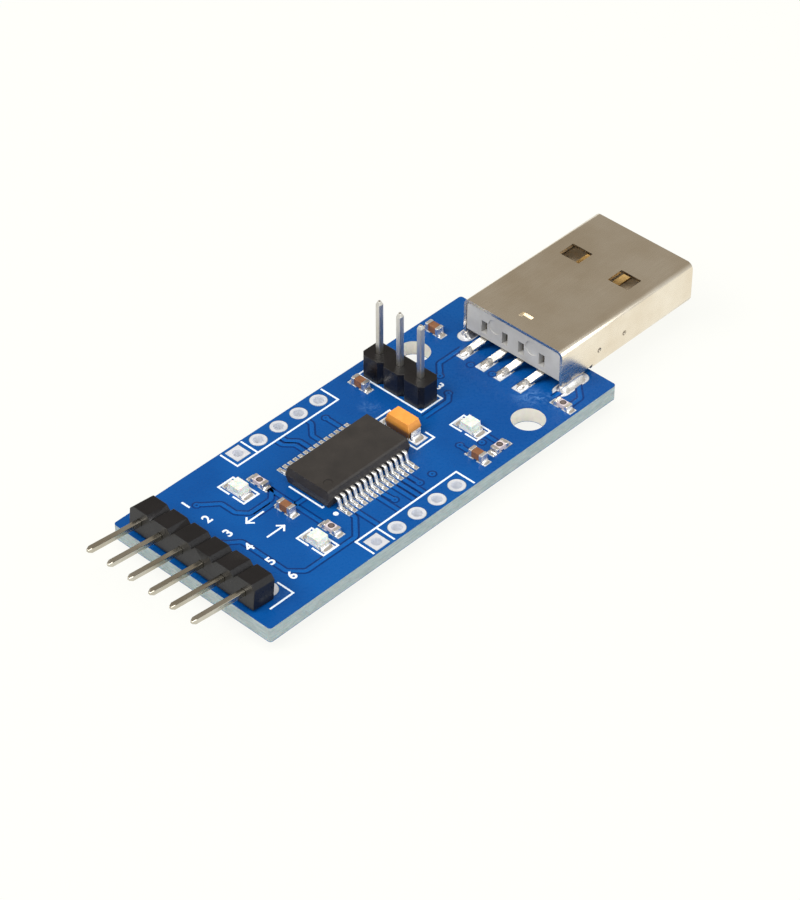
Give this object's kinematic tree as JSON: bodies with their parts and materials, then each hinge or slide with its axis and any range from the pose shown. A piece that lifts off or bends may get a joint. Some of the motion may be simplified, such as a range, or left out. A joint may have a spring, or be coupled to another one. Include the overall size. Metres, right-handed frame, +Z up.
{
  "type": "usb to serial adapter module",
  "caption": "Small blue circuit board with a USB plug at one end, an angled pin header at the other, a leaded chip, signal lamps and an upright selector header.",
  "frame": {"origin": "middle of the part's box, on the plane through the ends of the soldered tails", "axes": "+X from the angled header towards the plug's mouth, +Y across the board towards the upright header's side, +Z up from the parts side of the board"},
  "size_m": [0.0638, 0.0192, 0.0114],
  "materials": {
    "laminate": "matt glass-fibre laminate, pale grey green at the cut edge",
    "mask": "glossy blue film",
    "ink": "matt white print",
    "tinned_copper": "bright tin",
    "solder": "smooth bright solder",
    "shell_steel": "nickel-plated sheet, fine brush lines",
    "insert_plastic": "light grey moulding",
    "contact_metal": "plated spring metal",
    "chip_resin": "dark moulded resin, fine grain",
    "header_plastic": "black moulding",
    "pin_metal": "plated square wire",
    "capacitor_resin": "orange moulded resin",
    "lamp_base": "white laminate",
    "lamp_lens": "milky clear resin",
    "resistor_film": "dark glazed film",
    "ceramic": "fired ceramic, brown"
  },
  "bodies": {
    "root": {"board": "laminate", "mask_top": "mask", "mask_bottom": "mask", "legend": "ink", "row_pads_front": "tinned_copper", "row_pads_back": "tinned_copper", "header_pads": "tinned_copper", "selector_pads": "tinned_copper", "surface_pads": "tinned_copper", "leg_pads": "tinned_copper", "usb_shell": "shell_steel", "usb_insert": "insert_plastic", "usb_contact_1": "contact_metal", "usb_contact_2": "contact_metal", "usb_contact_3": "contact_metal", "usb_contact_4": "contact_metal", "chip_body": "chip_resin", "chip_leads_front": "tinned_copper", "chip_leads_back": "tinned_copper", "angled_header_block": "header_plastic", "angled_pin_1": "pin_metal", "angled_pin_2": "pin_metal", "angled_pin_3": "pin_metal", "angled_pin_4": "pin_metal", "angled_pin_5": "pin_metal", "angled_pin_6": "pin_metal", "selector_block": "header_plastic", "selector_pin_1": "pin_metal", "selector_pin_2": "pin_metal", "selector_pin_3": "pin_metal", "moulded_capacitor": "capacitor_resin", "moulded_capacitor_straps": "tinned_copper", "lamp_base_1": "lamp_base", "lamp_base_2": "lamp_base", "lamp_base_3": "lamp_base", "lamp_lens_1": "lamp_lens", "lamp_lens_2": "lamp_lens", "lamp_lens_3": "lamp_lens", "lamp_terminals": "tinned_copper", "resistor_body_1": "resistor_film", "resistor_body_2": "resistor_film", "resistor_body_3": "resistor_film", "resistor_body_4": "resistor_film", "resistor_caps": "tinned_copper", "ceramic_body_1": "ceramic", "ceramic_body_2": "ceramic", "ceramic_body_3": "ceramic", "ceramic_body_4": "ceramic", "ceramic_caps": "tinned_copper", "pin_solder": "solder", "leg_solder": "solder"}
  },
  "joints": []
}
